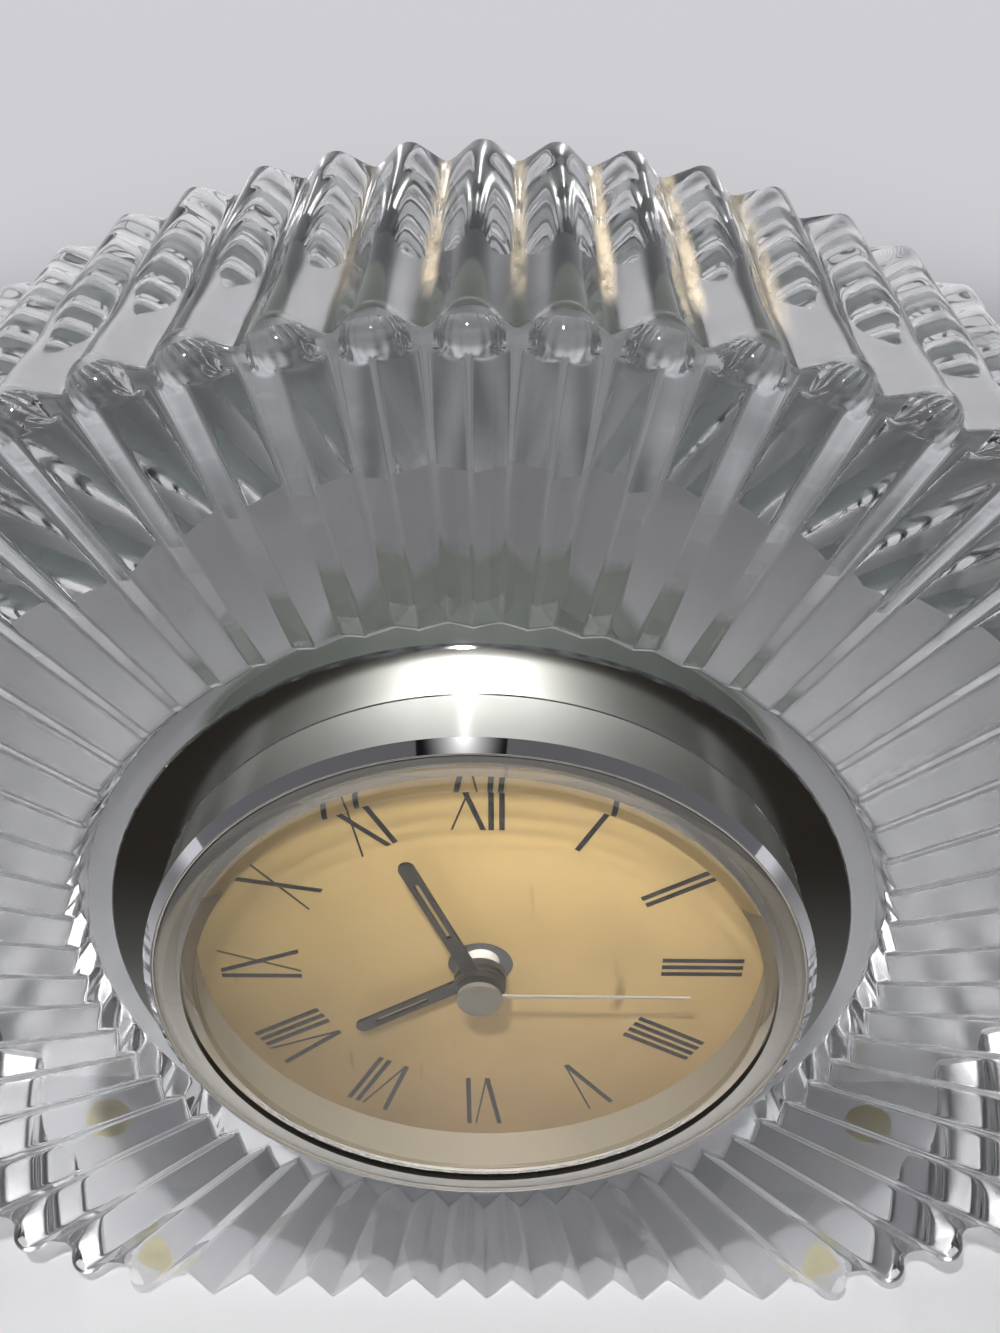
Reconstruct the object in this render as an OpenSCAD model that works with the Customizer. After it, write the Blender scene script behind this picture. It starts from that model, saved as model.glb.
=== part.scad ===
// Crystal desk clock: fluted glass body with a push-in quartz clock insert.
// Millimetres, +Z up, the viewer is on the -Y side.
// The origin is on the table, under the middle of the whole clock.

/* [Glass body] */
// Number of flutes all round the dial's axis
flute_count = 60; // [36:4:72]
// Half of the oval's width at the front
oval_half_width = 79.6; // [70:0.1:90]
// Half of the oval's height at the front, before the base is cut flat
oval_half_height = 69.2; // [62:0.1:80]
// How far the oval's centre lies under the dial's axis
oval_drop = 6; // [0:0.5:10]
// How much further out the rim is at the back than at the front
rim_draft = 5; // [0:0.1:8]
// From the bezel's seat back to the rear face
body_back = 38.2; // [34:0.1:50]
// From the flat base up to the dial's axis
axis_over_base = 61.3; // [56:0.1:66]
// Where the face's ridge lines would meet the axis, in front of the seat
ridge_apex = 4.67; // [3:0.01:6]
// Fall of the ridge lines for each millimetre outward
ridge_fall = 0.02; // [0:0.005:0.05]
// Fall of the valley lines for each millimetre outward
valley_fall = 0.061; // [0.04:0.001:0.08]
// Radius of the rounded tops of the rim's ridges
crest_radius = 2; // [1:0.1:3]
// Slope of the rim's ridges to each side
flank_angle = 38; // [25:1:50]
// Radius of the bead at the front end of each rim ridge
bead_radius = 2.2; // [1.5:0.1:3]
// How far the solid middle stays inside the ridge tops
core_inset = 2.9; // [2:0.1:4]
// Rim ridges to each side of the top one; the base has none
ridges_each_side = 24; // [20:1:26]
// Gap all round between the bezel's tube and the bored recess
bore_play = 1.75; // [1.4:0.05:3]
// Depth of the recess behind the seat
bore_depth = 22; // [18:0.5:30]
// Width of the flat land of the glass that shows round the bezel's flange
land_width = 2.5; // [0.2:0.1:4]
// Lean of the wall between the land and the inner ends of the flutes, from the dial's axis
wall_lean = 15; // [5:1:45]

/* [Foot pads] */
// Radius of each foot pad on the glass
pad_radius = 3.4; // [2.6:0.1:6]
// Radius of each foot pad on the table
pad_sole_radius = 2.7; // [2:0.1:5]
// Height of each foot pad
pad_height = 1.6; // [1:0.1:3]
// From each end of the base's front edge in to the front pads
front_pad_inset = 5.85; // [5:0.05:15]
// Front pads behind the seat plane
front_pad_back = 5; // [3:0.5:15]
// From each end of the base's rear edge in to the rear pads
rear_pad_inset = 11.4; // [8:0.05:20]
// Rear pads behind the seat plane
rear_pad_back = 31; // [20:0.5:34]

/* [Bezel and lens] */
// Width of the bezel's flange outside the tube
flange_width = 4.65; // [3:0.05:6]
// Thickness of the flange
flange_thickness = 0.6; // [0.4:0.1:1.2]
// Outer radius of the bezel's tube
tube_radius = 31.35; // [31:0.05:33]
// Wall of the bezel's tube
tube_wall = 0.95; // [0.7:0.05:1.5]
// From the seat forward to the start of the polished edge
tube_rise = 6.4; // [4:0.1:8]
// Width and depth of the polished edge
edge_chamfer = 0.9; // [0.5:0.05:0.95]
// How far the tube reaches back into the glass
skirt_depth = 4; // [2:0.5:6]
// Width of the thin seal round the lens
gasket_width = 0.15; // [0.1:0.05:0.6]
// Clearance between pieces that are pushed together
push_gap = 0.05; // [0.02:0.01:0.1]
// From the seat forward to the lens' rim at the back
lens_seat = 5.4; // [4:0.1:6]
// From the seat forward to the back of the window
window_back = 6.4; // [6:0.1:7]
// From the seat forward to the front of the window
window_front = 7.3; // [7:0.05:7.4]
// From the seat forward to the crest of the lens' rounded border
border_crest = 7.6; // [7.45:0.05:9]
// From the seat forward to the outer corner of the lens
lens_shoulder = 6.9; // [6:0.1:7.2]
// Width of the border's slope up from the window to the crest
inner_slope = 1.5; // [0.8:0.1:2.5]
// Width of the border's slope from the crest down to the outer corner
outer_slope = 2.15; // [1:0.05:3]
// Width of the lens' foot, which rests on the spacer ring
lens_foot_width = 1.9; // [1:0.1:3]

/* [Dial] */
// From the seat forward to the dial's face
dial_front = 1.6; // [1:0.1:2.5]
// Thickness of the dial
dial_thickness = 0.4; // [0.2:0.05:0.6]
// Radius of the hole in the dial
dial_hole_radius = 3.2; // [2.2:0.1:4]
// Width of the spacer ring on the dial's edge
spacer_width = 2.75; // [2:0.05:4]
// From the spacer ring in to the numerals
numeral_margin = 2; // [1:0.1:4]
// Length of the numerals along the radius
numeral_length = 7.9; // [6:0.1:9]
// Width of the thick strokes
thick_stroke = 0.5; // [0.3:0.05:0.8]
// Width of the thin strokes
thin_stroke = 0.18; // [0.1:0.02:0.3]
// Spacing of the strokes of I, II, III and IIII
stroke_pitch = 0.95; // [0.8:0.05:1.3]
// Half of the spread of the letter X
cross_spread = 1.4; // [1:0.05:2]
// Half of the spread of the letter V
wedge_spread = 1.3; // [1:0.05:2]
// Thickness of the printed numerals
print_thickness = 0.06; // [0.04:0.01:0.2]

/* [Hands] */
// Hour that the hands show
shown_hour = 7; // [0:1:11]
// Minute that the hands show
shown_minute = 56; // [0:1:59]
// Second that the hands show
shown_second = 15; // [0:1:59]
// Length of the hour hand
hour_length = 14.7; // [12:0.1:17]
// Length of the minute hand
minute_length = 17.2; // [14:0.1:22]
// Length of the seconds hand
second_length = 20; // [16:0.1:24]
// Width of the hour and minute hands
hand_width = 1.5; // [1:0.1:2.2]
// Width of the open slot along the hour and minute hands
slot_width = 0.45; // [0.3:0.05:0.8]
// Radius of the hour and minute hands' bosses
boss_radius = 2.5; // [2.2:0.1:3]
// Thickness of the hour and minute hands
hand_thickness = 0.3; // [0.2:0.05:0.4]
// Height of the hour hand's boss
hour_boss_height = 0.7; // [0.5:0.05:0.9]
// Height of the minute hand's boss
minute_boss_height = 0.9; // [0.6:0.05:1.1]
// Thickness of the seconds needle
needle_thickness = 0.2; // [0.15:0.05:0.3]
// Radius of the seconds hand's round cap
cap_radius = 2.15; // [1.5:0.05:3]
// Height of the seconds hand's cap
cap_height = 0.7; // [0.5:0.05:1]
// Width of the seconds needle at the cap
needle_width = 0.42; // [0.25:0.01:0.6]
// Width of the seconds needle at the tip
needle_tip_width = 0.2; // [0.15:0.01:0.4]
// From the seat forward to the back of the hour hand
hour_level = 2.8; // [2.2:0.1:3.2]
// From the seat forward to the back of the minute hand
minute_level = 3.9; // [3.5:0.1:4.4]
// From the seat forward to the back of the seconds hand
second_level = 5.2; // [4.8:0.1:5.5]

/* [Insert case] */
// Wall of the insert's case
case_wall = 1.1; // [0.8:0.1:1.8]
// Gap between the setting knob and the bottom of the recess
knob_gap = 1.3; // [0.3:0.1:3]
// Thickness of the case's rear wall
case_floor = 1.2; // [0.8:0.1:2]
// Thickness of the plate behind the dial
front_plate_thickness = 1; // [0.8:0.1:1.4]
// Width of the rubber grip band
band_width = 10; // [6:0.5:11]
// From the seat back to the band's front edge
band_start = 6; // [5:0.5:8]
// Height of the band's ribs over its bottom
rib_height = 1.4; // [0.5:0.1:1.6]
// Number of ribs on the band
rib_count = 4; // [3:1:6]

/* [Movement] */
// Teeth on the rotor's pinion
rotor_teeth = 8; // [8:1:10]
// Teeth on the fifth wheel
fifth_wheel_teeth = 48; // [48:1:60]
// Teeth on the fifth wheel's pinion
fifth_pinion_teeth = 10; // [10:1:12]
// Teeth on the seconds wheel
second_wheel_teeth = 50; // [50:1:60]
// Teeth on the seconds wheel's pinion
second_pinion_teeth = 8; // [8:1:10]
// Teeth on the third wheel
third_wheel_teeth = 60; // [60:1:75]
// Teeth on the third wheel's pinion
third_pinion_teeth = 8; // [8:1:10]
// Teeth on the minute wheel
minute_wheel_teeth = 64; // [64:1:80]
// Teeth on the minute wheel's pinion
minute_pinion_teeth = 12; // [12:1:16]
// Teeth on the motion wheel
motion_wheel_teeth = 36; // [36:1:48]
// Teeth on the motion wheel's pinion
motion_pinion_teeth = 10; // [10:1:12]
// Teeth on the hour wheel
hour_wheel_teeth = 40; // [40:1:48]
// Teeth on the setting knob's pinion
setting_teeth = 10; // [10:1:14]
// Tooth module of the fast wheels
fine_module = 0.25; // [0.2:0.01:0.3]
// Tooth module of the motion work
coarse_module = 0.35; // [0.3:0.01:0.4]
// Half of the width of the middle and rear plates
plate_half_width = 22; // [20:0.5:24]
// How far the plates reach down under the middle
plate_low = 10.3; // [9:0.1:10.5]
// How far the plates reach up over the middle
plate_high = 18.7; // [16:0.1:20]
// Half of the distance between the posts that carry the stator
post_side = 9.2; // [8:0.1:10]
// Height of those posts' axes over the middle
post_high = 16; // [14:0.5:17]
// Width of the circuit board
board_width = 10; // [8:0.1:10.4]
// Height of the circuit board
board_height = 12; // [8:0.1:13]
// From the circuit board's outer edge to the plates' edge
board_inset = 0.4; // [0.2:0.1:1]
// From the middle down to the lower edge of the circuit board
board_low = 9.8; // [8:0.1:10]
// Thickness of the wheels
wheel_thickness = 0.6; // [0.4:0.05:0.8]
// Radius of the arbors between their bearings
arbor_radius = 0.5; // [0.4:0.05:0.7]
// Radius of the pivots in the plates
pivot_radius = 0.3; // [0.25:0.01:0.45]
// Clearance all round a pivot or pipe
running_gap = 0.04; // [0.02:0.01:0.08]
// Outer radius of the hour wheel's pipe
hour_pipe_radius = 1.85; // [1.7:0.05:2.2]
// Outer radius of the minute wheel's pipe
minute_pipe_radius = 1.1; // [0.9:0.05:1.3]
// Radius of the seconds wheel's long shaft
second_shaft_radius = 0.4; // [0.35:0.05:0.5]
// Direction of the third wheel from the middle, anticlockwise from 3 o'clock
third_angle = 150; // [140:1:160]
// Direction of the motion wheel and the setting knob from the middle
motion_angle = 20; // [10:1:30]
// Direction of the fifth wheel from the middle
fifth_angle = 80; // [70:1:90]
// Direction of the rotor from the fifth wheel
rotor_angle = 110; // [100:1:120]
// Radius of the rotor's magnet
magnet_radius = 2.2; // [1.8:0.1:2.6]
// Length of the coil
coil_length = 13; // [10:0.5:15]
// Radius of the coil
coil_radius = 2.7; // [2:0.1:3]
// Height of the coil's axis over the middle
coil_high = 21.3; // [20:0.1:22]
// Radius of the setting knob
knob_radius = 3.6; // [3:0.1:4]
// Thickness of the setting knob
knob_height = 1.5; // [1:0.1:2]
// Gap between the setting knob and the rear face of the case
knob_lift = 0.2; // [0.1:0.05:0.5]

/* [Battery] */
// Radius of the battery
battery_radius = 6; // [5.5:0.1:6]
// Length of the battery without its cap
battery_length = 28.8; // [28:0.1:30]
// Height of the battery's cap
battery_nub = 1; // [0.8:0.1:1.4]
// How far the battery's axis is under the middle
battery_low = 18; // [17.5:0.1:18.5]
// From the seat back to the battery's axis
battery_back = 9.8; // [9:0.1:11]
// Thickness of the battery's contacts
contact_thickness = 0.4; // [0.2:0.05:0.6]
// Wall of the battery's bay
bay_wall = 0.9; // [0.7:0.1:1.2]
// From the seat back to the front edges of the bay's walls
bay_front = 4.6; // [4:0.1:6]
// Half of the width of the mouth that the battery snaps in through
mouth_half = 5.2; // [4.8:0.1:5.6]

/* [Hidden] */
$fn = 96;

// Values worked out from those above
eps = 0.01;
dial_height = axis_over_base + pad_height;
front_pad_side = base_half(0) - front_pad_inset;
rear_pad_side = base_half(rim_draft) - rear_pad_inset;
bore_radius = tube_radius + bore_play;
flange_radius = tube_radius + flange_width;
land_radius = flange_radius + land_width;
groove_start = 0.75 * bore_radius;
groove_cut = 2 * ridge_apex;
ridge_root = 5 * bead_radius;
seat_y = -(body_back - border_crest) / 2;
flute_step = 360 / flute_count;
tube_bore = tube_radius - tube_wall;
lens_radius = tube_bore - gasket_width - 2 * push_gap;
plate_radius = tube_bore - push_gap;
case_radius = tube_bore - push_gap;
dial_back = dial_front - dial_thickness;
dial_shown_radius = plate_radius - spacer_width;
numeral_outer = dial_shown_radius - numeral_margin;
numeral_inner = numeral_outer - numeral_length;
plate_back = dial_back - front_plate_thickness;
band_radius = bore_radius - push_gap;
case_back = bore_depth - knob_gap - knob_height - knob_lift;

// Levels along the axis, from the seat: forward is positive
hour_wheel_back = -0.9;
motion_wheel_back = -2.2;
minute_wheel_back = -3.3;
third_wheel_back = -4.9;
middle_plate_front = -5.1;
middle_plate_back = -5.6;
second_wheel_back = -6.5;
fifth_wheel_back = -7.8;
magnet_front = -8.3;
magnet_back = -10;
rear_plate_front = -11;
rear_plate_back = -11.8;
stator_back = -9.6;
iron_thickness = 0.6;
core_width = 3;
rotor_gap = 0.4;
board_thickness = 0.8;
board_front = rear_plate_front + board_thickness;
board_side = plate_half_width - board_width - board_inset;
half_battery = (battery_length + battery_nub) / 2;
leg_low = -9.4;

// Distances between the wheels' axes
second_to_third = (second_pinion_teeth + third_wheel_teeth) / 2 * fine_module;
slow_module = 2 * second_to_third / (third_pinion_teeth + minute_wheel_teeth);
fifth_to_second = (fifth_pinion_teeth + second_wheel_teeth) / 2 * fine_module;
rotor_to_fifth = (rotor_teeth + fifth_wheel_teeth) / 2 * fine_module;
minute_to_motion = (minute_pinion_teeth + motion_wheel_teeth) / 2 * coarse_module;
hour_module = 2 * minute_to_motion / (motion_pinion_teeth + hour_wheel_teeth);
motion_to_setting = (motion_wheel_teeth + setting_teeth) / 2 * coarse_module;
third_at = second_to_third * [cos(third_angle), sin(third_angle)];
motion_at = minute_to_motion * [cos(motion_angle), sin(motion_angle)];
setting_at = (minute_to_motion + motion_to_setting) * [cos(motion_angle), sin(motion_angle)];
fifth_at = fifth_to_second * [cos(fifth_angle), sin(fifth_angle)];
rotor_at = fifth_at + rotor_to_fifth * [cos(rotor_angle), sin(rotor_angle)];
pillar_radius = 1.8;
socket_radius = 2;
upper_left = plate_half_width - socket_radius - 0.5;
pillar_spots = [[-upper_left, 12], [upper_left - 2, 15.5], [2 - upper_left, -7.5]];
pin_radius = 1.1;
iron_side = post_side + 1.8;
iron_round = magnet_radius + rotor_gap + 1;
iron_low = rotor_at[1] - iron_round;
screw_radius = 0.5;

// Clock angles of the hands, clockwise from 12
minute_turn = shown_minute * 6 + shown_second / 10;
hour_turn = shown_hour * 30 + shown_minute / 2 + shown_second / 120;
second_turn = shown_second * 6;

// Distance from the dial's axis to the oval at a clock angle, for an oval grown by some millimetres
function oval_reach(a, grow = 0) = let(
    wide = oval_half_width + grow,
    high = oval_half_height + grow,
    qa = pow(sin(a) / wide, 2) + pow(cos(a) / high, 2),
    qb = 2 * cos(a) * oval_drop / pow(high, 2),
    qc = pow(oval_drop / high, 2) - 1)
    (-qb + sqrt(qb * qb - 4 * qa * qc)) / (2 * qa);

// Half of the base's width where the oval is grown by some millimetres
function base_half(grow) = (oval_half_width + grow)
    * sqrt(1 - pow((axis_over_base - oval_drop) / (oval_half_height + grow), 2));

// Puts a piece drawn round the z axis, facing +z, on the dial's axis, facing the viewer
module on_dial_axis() {
    translate([0, seat_y, dial_height]) rotate([90, 0, 0]) children();
}

// Straight solid between two levels on the dial's axis
module slab(back, front) {
    translate([0, 0, back]) linear_extrude(front - back) children();
}

module rod(radius, back, front) {
    translate([0, 0, back]) cylinder(r = radius, h = front - back);
}

module ring(outer, inner, back, front) {
    difference() {
        rod(outer, back, front);
        rod(inner, back - 1, front + 1);
    }
}

// Gear outline with a tooth, or a gap, pointing at the angle
module gear_outline(teeth, size, angle, gap_there = false) {
    pitch = 360 / teeth;
    shift = angle + (gap_there ? pitch / 2 : 0);
    middle = teeth * size / 2;
    low = middle - 1.15 * size;
    high = middle + 0.8 * size;
    polygon([for (i = [0 : teeth - 1], p = [[-0.27, low], [-0.2, middle], [-0.09, high],
            [0.09, high], [0.2, middle], [0.27, low]])
        let(a = shift + (i + p[0]) * pitch) p[1] * [cos(a), sin(a)]]);
}

module ridge_section(half_width, depth) {
    touch_x = crest_radius * sin(flank_angle);
    touch_y = crest_radius * (1 - cos(flank_angle));
    side_y = touch_y + (half_width - touch_x) * tan(flank_angle);
    translate([0, crest_radius]) circle(crest_radius);
    polygon([[-touch_x, touch_y], [touch_x, touch_y], [half_width, side_y], [half_width, depth],
        [-half_width, depth], [-half_width, side_y]]);
}

module rim_ridge(a) {
    front = oval_reach(a);
    back = oval_reach(a, rim_draft);
    start = ridge_apex - ridge_fall * front - bead_radius;
    run = start + body_back;
    tilt = atan((back - front) / run);
    rotate([0, 0, -a]) translate([0, front, start]) rotate([180 + tilt, 0, 0])
        linear_extrude(run / cos(tilt) + 4)
            ridge_section(back * tan(flute_step / 2) + 0.2, ridge_root);
}

module rim_bead(a) {
    front = oval_reach(a);
    rotate([0, 0, -a])
        translate([0, front - crest_radius, ridge_apex - ridge_fall * front - bead_radius])
            sphere(bead_radius);
}

module face_groove(a) {
    side = groove_cut * tan(flute_step / 2) / (valley_fall - ridge_fall);
    rotate([0, 0, -a]) translate([0, 0, ridge_apex]) rotate([-90 - atan(valley_fall), 0, 0])
        translate([0, 0, groove_start]) linear_extrude(oval_half_width)
            polygon([[0, 0], [side, -groove_cut], [-side, -groove_cut]]);
}

module crystal_body() color([0.9, 0.94, 0.97, 0.45]) on_dial_axis() {
    difference() {
        union() {
            difference() {
                union() {
                    slab(-body_back, ridge_apex)
                        polygon([for (i = [0 : flute_count - 1]) let(a = i * flute_step)
                            (oval_reach(a) - core_inset) * [sin(a), cos(a)]]);
                    for (i = [-ridges_each_side : ridges_each_side]) rim_ridge(i * flute_step);
                }
                for (i = [0 : flute_count - 1]) face_groove((i + 0.5) * flute_step);
            }
            for (i = [-ridges_each_side : ridges_each_side]) rim_bead(i * flute_step);
        }
        translate([-150, -axis_over_base - 100, -100]) cube([300, 100, 200]);
        translate([-150, -150, -body_back - 20]) cube([300, 300, 20]);
        rod(bore_radius, -bore_depth, groove_cut);
        cylinder(r1 = land_radius, r2 = land_radius + groove_cut * tan(wall_lean), h = groove_cut);
    }
}

module foot_pad(side, back) color([0.85, 0.8, 0.55, 0.8]) {
    translate([side, seat_y + back, 0]) {
        cylinder(r1 = pad_sole_radius, r2 = pad_radius, h = pad_height - 0.4);
        translate([0, 0, pad_height - 0.4]) cylinder(r = pad_radius, h = 0.4);
    }
}

module front_left_pad() {
    foot_pad(-front_pad_side, front_pad_back);
}

module front_right_pad() {
    foot_pad(front_pad_side, front_pad_back);
}

module rear_left_pad() {
    foot_pad(-rear_pad_side, rear_pad_back);
}

module rear_right_pad() {
    foot_pad(rear_pad_side, rear_pad_back);
}

module bezel() color([0.75, 0.76, 0.78]) on_dial_axis() {
    rotate_extrude() polygon([
        [tube_bore, -skirt_depth], [tube_radius, -skirt_depth], [tube_radius, 0],
        [flange_radius, 0], [flange_radius, flange_thickness - 0.15],
        [flange_radius - 0.15, flange_thickness], [tube_radius, flange_thickness],
        [tube_radius, tube_rise], [tube_radius - edge_chamfer, tube_rise + edge_chamfer],
        [tube_bore, tube_rise + edge_chamfer]]);
}

module lens_gasket() color([0.05, 0.05, 0.05]) on_dial_axis() {
    ring(tube_bore - push_gap, lens_radius + push_gap, lens_seat, tube_rise + edge_chamfer - 0.1);
}

// Points of an arc that starts level at a crest and falls by a height over a width
function arc_down(width, height) = let(
    round = (width * width + height * height) / (2 * height),
    sweep = asin(width / round))
    [for (i = [0 : 8]) let(a = sweep * i / 8) [round * sin(a), -round * (1 - cos(a))]];

// The window has a rounded border that stands proud of it
module lens() color([0.9, 0.95, 0.97, 0.3]) on_dial_axis() {
    crest = [lens_radius - outer_slope, border_crest];
    outside = arc_down(outer_slope, border_crest - lens_shoulder);
    inside = arc_down(inner_slope, border_crest - window_front);
    rotate_extrude() polygon(concat(
        [[0, window_back], [lens_radius - lens_foot_width - 0.5, window_back],
            [lens_radius - lens_foot_width, lens_seat], [lens_radius, lens_seat]],
        [for (i = [8 : -1 : 0]) crest + outside[i]],
        [for (i = [1 : 8]) crest + [-inside[i][0], inside[i][1]]],
        [[0, window_front]]));
}

module spacer_ring() color([0.7, 0.68, 0.62]) on_dial_axis() {
    rotate_extrude() polygon([[dial_shown_radius, dial_front], [plate_radius, dial_front],
        [plate_radius, lens_seat], [dial_shown_radius + 0.5, lens_seat]]);
}

module dial() color([0.83, 0.7, 0.45]) on_dial_axis() {
    ring(plate_radius, dial_hole_radius, dial_back, dial_front);
}

// One stroke of a numeral, between its outer end and its inner end
module stroke(outer_x, inner_x, width) {
    polygon([[outer_x - width / 2, numeral_outer], [outer_x + width / 2, numeral_outer],
        [inner_x + width / 2, numeral_inner], [inner_x - width / 2, numeral_inner]]);
}

function letter_reach(letter) = letter == "I" ? stroke_pitch / 2
    : letter == "V" ? wedge_spread + thick_stroke / 2
    : cross_spread + stroke_pitch / 4;

function word_reach(letters, count) = count == 0 ? 0
    : letter_reach(letters[count - 1]) + word_reach(letters, count - 1);

module letter_outline(letter) {
    if (letter == "I") stroke(0, 0, thick_stroke);
    if (letter == "V") {
        stroke(-wedge_spread, 0, thick_stroke);
        stroke(wedge_spread, 0.1, thin_stroke);
    }
    if (letter == "X") {
        stroke(-cross_spread, cross_spread, thick_stroke);
        stroke(cross_spread, -cross_spread, thin_stroke);
    }
}

module numeral_outline(letters) {
    whole = word_reach(letters, len(letters));
    for (i = [0 : len(letters) - 1])
        translate([word_reach(letters, i) * 2 + letter_reach(letters[i]) - whole, 0])
            letter_outline(letters[i]);
}

module dial_numerals() color([0.08, 0.07, 0.06]) on_dial_axis() {
    numerals = ["XII", "I", "II", "III", "IIII", "V", "VI", "VII", "VIII", "IX", "X", "XI"];
    slab(dial_front, dial_front + print_thickness)
        for (hour = [0 : 11]) rotate(-30 * hour) numeral_outline(numerals[hour]);
}

// Outline of a hand that points to 12, with a boss and an open slot
module hand_outline(length) {
    difference() {
        union() {
            circle(boss_radius);
            translate([-hand_width / 2, 0]) square([hand_width, length - hand_width / 2]);
            translate([0, length - hand_width / 2]) circle(hand_width / 2);
        }
        translate([-slot_width / 2, length * 0.42]) square([slot_width, length * 0.42]);
    }
}

module hour_hand() color([0.08, 0.08, 0.08]) on_dial_axis() rotate([0, 0, -hour_turn]) {
    difference() {
        union() {
            slab(hour_level, hour_level + hand_thickness) hand_outline(hour_length);
            rod(boss_radius, hour_level, hour_level + hour_boss_height);
        }
        rod(hour_pipe_radius, hour_level - 1, hour_level + 2);
    }
}

module minute_hand() color([0.08, 0.08, 0.08]) on_dial_axis() rotate([0, 0, -minute_turn]) {
    difference() {
        union() {
            slab(minute_level, minute_level + hand_thickness) hand_outline(minute_length);
            rod(boss_radius - 0.2, minute_level, minute_level + minute_boss_height);
        }
        rod(minute_pipe_radius, minute_level - 1, minute_level + 2);
    }
}

module second_hand() color([0.8, 0.8, 0.78]) on_dial_axis() rotate([0, 0, -second_turn]) {
    difference() {
        slab(second_level, second_level + needle_thickness) {
            circle(cap_radius - 0.35);
            polygon([[-needle_width / 2, 0], [needle_width / 2, 0],
                [needle_tip_width / 2, second_length], [-needle_tip_width / 2, second_length]]);
        }
        rod(second_shaft_radius, second_level - 1, second_level + 1);
    }
}

module second_cap() color([0.5, 0.49, 0.45]) on_dial_axis() {
    difference() {
        rod(cap_radius, second_level + needle_thickness, second_level + cap_height);
        rod(second_shaft_radius, second_level, second_level + 0.4);
    }
}

// Outline of the battery's bay, seen from the front
module bay_outline(half_height, extra = 0) {
    half = half_battery + contact_thickness + extra;
    translate([-half, -battery_low - half_height - extra])
        square([2 * half, 2 * (half_height + extra)]);
}

module insert_case() color([0.12, 0.12, 0.13]) on_dial_axis() {
    inner = case_radius - case_wall;
    difference() {
        union() {
            ring(case_radius, inner, -case_back, plate_back);
            rod(case_radius, -case_back, case_floor - case_back);
            intersection() {
                slab(-case_back, -bay_front) bay_outline(battery_radius + push_gap, bay_wall);
                rod(case_radius, -case_back, plate_back);
            }
        }
        slab(-battery_back - 4.2, -bay_front + 1) bay_outline(battery_radius + push_gap);
        slab(-case_back - 1, -battery_back) bay_outline(mouth_half);
        translate(setting_at) rod(arbor_radius + 0.3 + running_gap, -case_back - 1, 0);
    }
}

module grip_band() color([0.16, 0.16, 0.17]) on_dial_axis() {
    pitch = band_width / rib_count;
    rotate_extrude() polygon(concat(
        [[case_radius, -band_start], [case_radius, -band_start - band_width]],
        [for (i = [rib_count - 1 : -1 : 0], p = [[0, 0.92], [1, 0.7], [1, 0.3], [0, 0.08]])
            [band_radius - rib_height * (1 - p[0]), -band_start - (i + p[1]) * pitch]]));
}

// Outline of the middle and rear plates
module plate_outline() {
    intersection() {
        circle(case_radius - case_wall - 0.3);
        translate([-plate_half_width, -plate_low])
            square([2 * plate_half_width, plate_low + plate_high]);
    }
}

module front_plate() color([0.92, 0.92, 0.9]) on_dial_axis() {
    difference() {
        union() {
            rod(plate_radius, plate_back, dial_back);
            for (spot = pillar_spots) translate(spot) {
                rod(pillar_radius, middle_plate_front, plate_back + eps);
                rod(pin_radius, rear_plate_front, plate_back + eps);
            }
        }
        rod(hour_pipe_radius + running_gap, plate_back - 1, dial_back + 1);
        for (spot = [third_at, motion_at, setting_at])
            translate(spot) rod(pivot_radius + running_gap, plate_back - 1, dial_back - 0.3);
        for (spot = pillar_spots) translate(spot) rod(screw_radius, rear_plate_front - 1, -6);
    }
}

module middle_plate() color([0.92, 0.92, 0.9]) on_dial_axis() {
    difference() {
        slab(middle_plate_back, middle_plate_front) plate_outline();
        rod((second_pinion_teeth / 2 + 1.6) * fine_module, middle_plate_back - 1, 0);
        for (spot = [third_at, motion_at, fifth_at, rotor_at])
            translate(spot) rod(pivot_radius + running_gap, middle_plate_back - 1, 0);
        translate(setting_at) rod(arbor_radius + running_gap, middle_plate_back - 1, 0);
        for (spot = pillar_spots) translate(spot) rod(pin_radius + push_gap, -8, 0);
        // Notches for the legs of the battery's contacts
        for (side = [-1, 1]) translate([side * half_battery - 1.2, leg_low - 1.6, -8]) cube([2.4, 2.6, 8]);
    }
}

module rear_plate() color([0.92, 0.92, 0.9]) on_dial_axis() {
    difference() {
        union() {
            slab(rear_plate_back, rear_plate_front) plate_outline();
            for (spot = pillar_spots) translate(spot) rod(socket_radius, rear_plate_back, middle_plate_back);
            rod(1, rear_plate_back, -7.9);
            for (side = [-post_side, post_side])
                translate([side, post_high]) rod(1.2, rear_plate_back, stator_back);
        }
        rod(pivot_radius + running_gap, rear_plate_back - 1, -7);
        for (spot = [fifth_at, rotor_at])
            translate(spot) rod(pivot_radius + running_gap, rear_plate_back - 1, -9);
        translate(setting_at) rod(arbor_radius + running_gap, rear_plate_back - 1, 0);
        for (spot = pillar_spots) translate(spot) {
            rod(pin_radius + push_gap, rear_plate_front, 0);
            rod(screw_radius + push_gap, rear_plate_back - 1, 0);
        }
    }
}

module plate_screws() color([0.6, 0.6, 0.6]) on_dial_axis() {
    for (spot = pillar_spots) translate(spot) difference() {
        union() {
            rod(1.2, rear_plate_back - 0.7, rear_plate_back);
            rod(screw_radius, rear_plate_back - 0.1, -6.5);
        }
        translate([-2, -0.15, rear_plate_back - 1]) cube([4, 0.3, 0.6]);
    }
}

// Wheel, pinion and arbor drawn round their own axis
module hour_wheel() color([0.93, 0.93, 0.9]) on_dial_axis() {
    difference() {
        union() {
            slab(hour_wheel_back, hour_wheel_back + wheel_thickness)
                gear_outline(hour_wheel_teeth, hour_module, motion_angle);
            rod(hour_pipe_radius, hour_wheel_back, hour_level + 0.6);
        }
        rod(minute_pipe_radius + running_gap, hour_wheel_back - 1, hour_level + 2);
    }
}

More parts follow.
